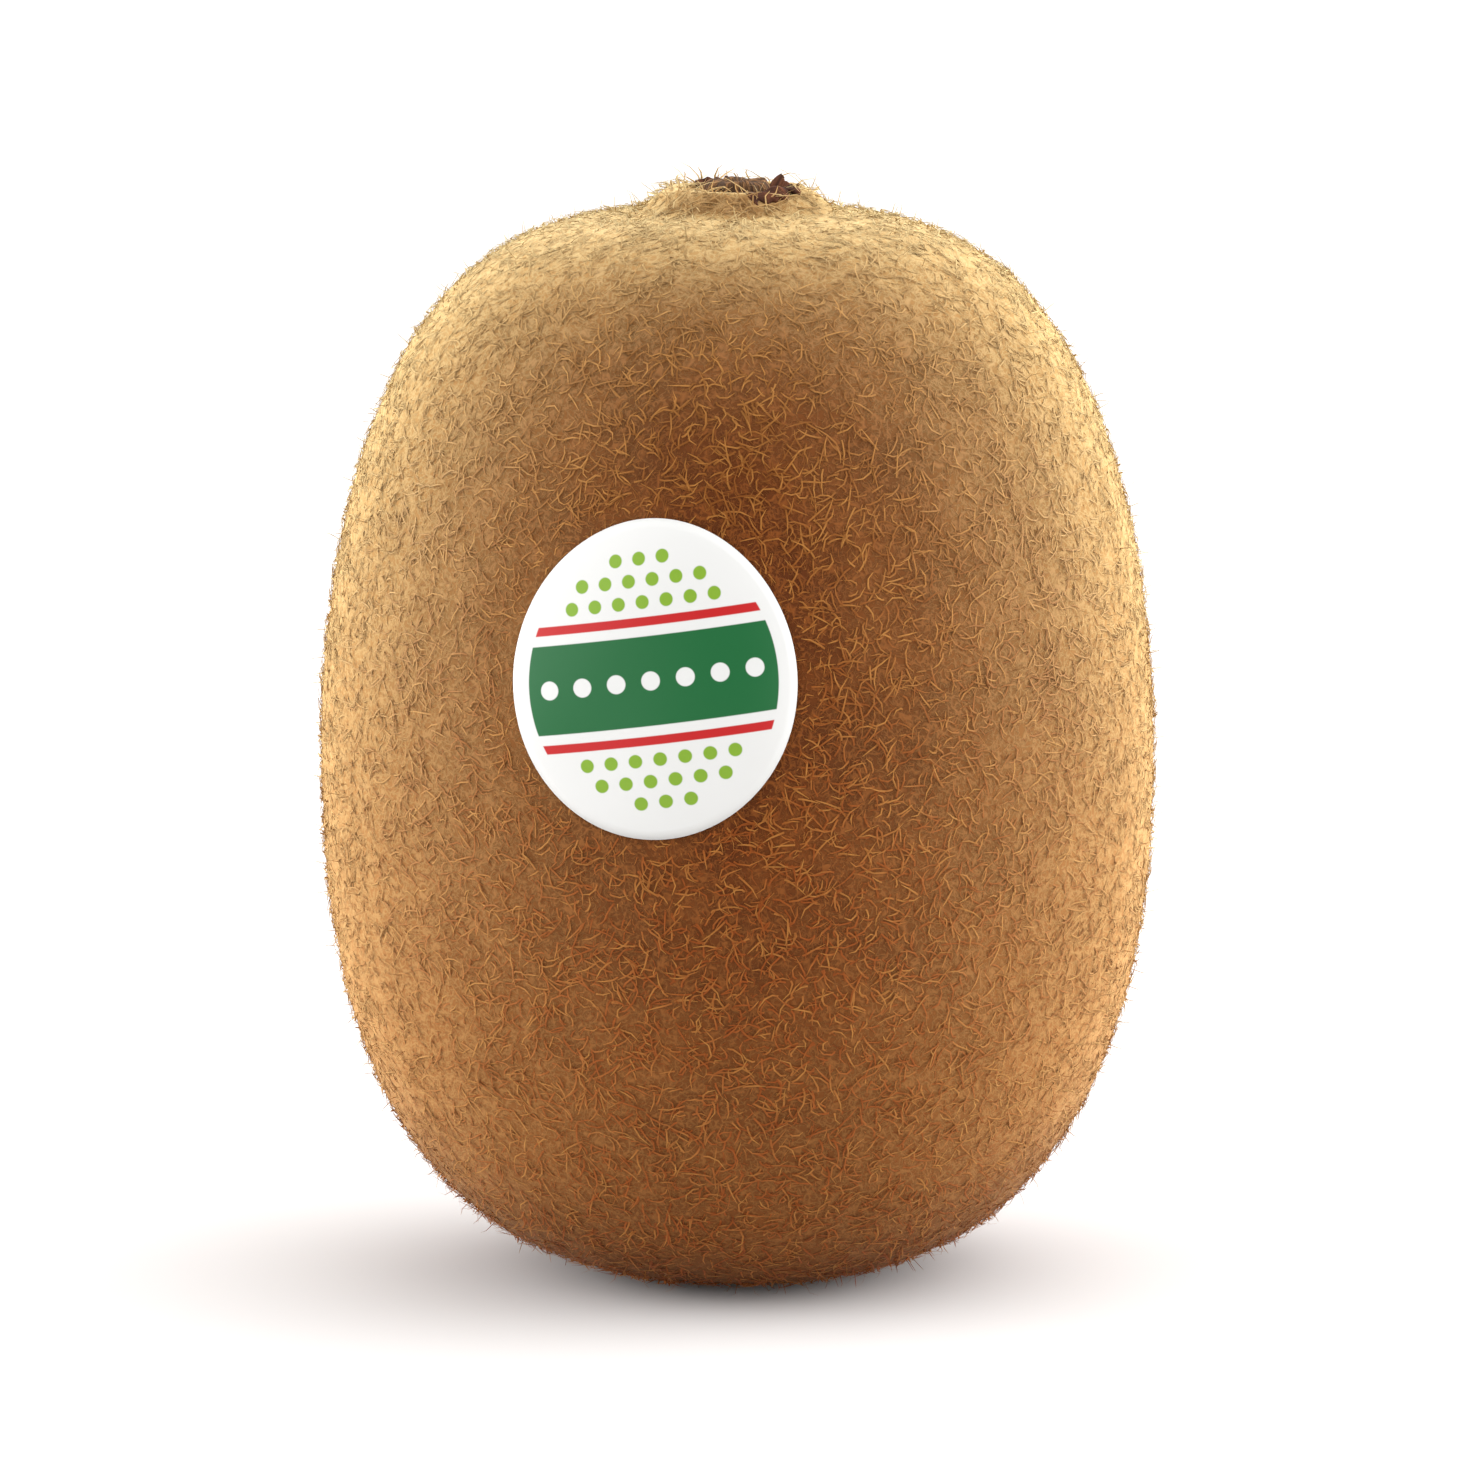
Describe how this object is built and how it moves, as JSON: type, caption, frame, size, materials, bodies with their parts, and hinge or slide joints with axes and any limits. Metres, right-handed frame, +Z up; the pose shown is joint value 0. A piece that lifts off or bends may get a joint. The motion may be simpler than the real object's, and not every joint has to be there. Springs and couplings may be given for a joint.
{
  "type": "kiwi fruit",
  "caption": "Whole unpeeled kiwi fruit, an upright oval barrel with a hairy brown skin, a collar with dried sepals round the stalk's scar, and a round fruit sticker.",
  "frame": {"origin": "under the middle of the fruit, on the surface that it stands on", "axes": "+Z up, from the blossom end to the stalk end; the sticker faces -Y; the oval section is widest along X"},
  "size_m": [0.0512, 0.0486, 0.0681],
  "materials": {
    "skin": "thin brown skin under a felt of golden-brown hairs",
    "stalk": "dry broken wood, dark brown",
    "sepals": "dry, papery, dark brown, with a downy underside",
    "styles": "dry threads, nearly black",
    "sticker": "smooth printed film, white with green and red bands"
  },
  "bodies": {
    "root": {"fruit": "skin", "stalk_stump": "stalk", "dried_sepals": "sepals", "dried_styles": "styles", "label": "sticker"}
  },
  "joints": []
}
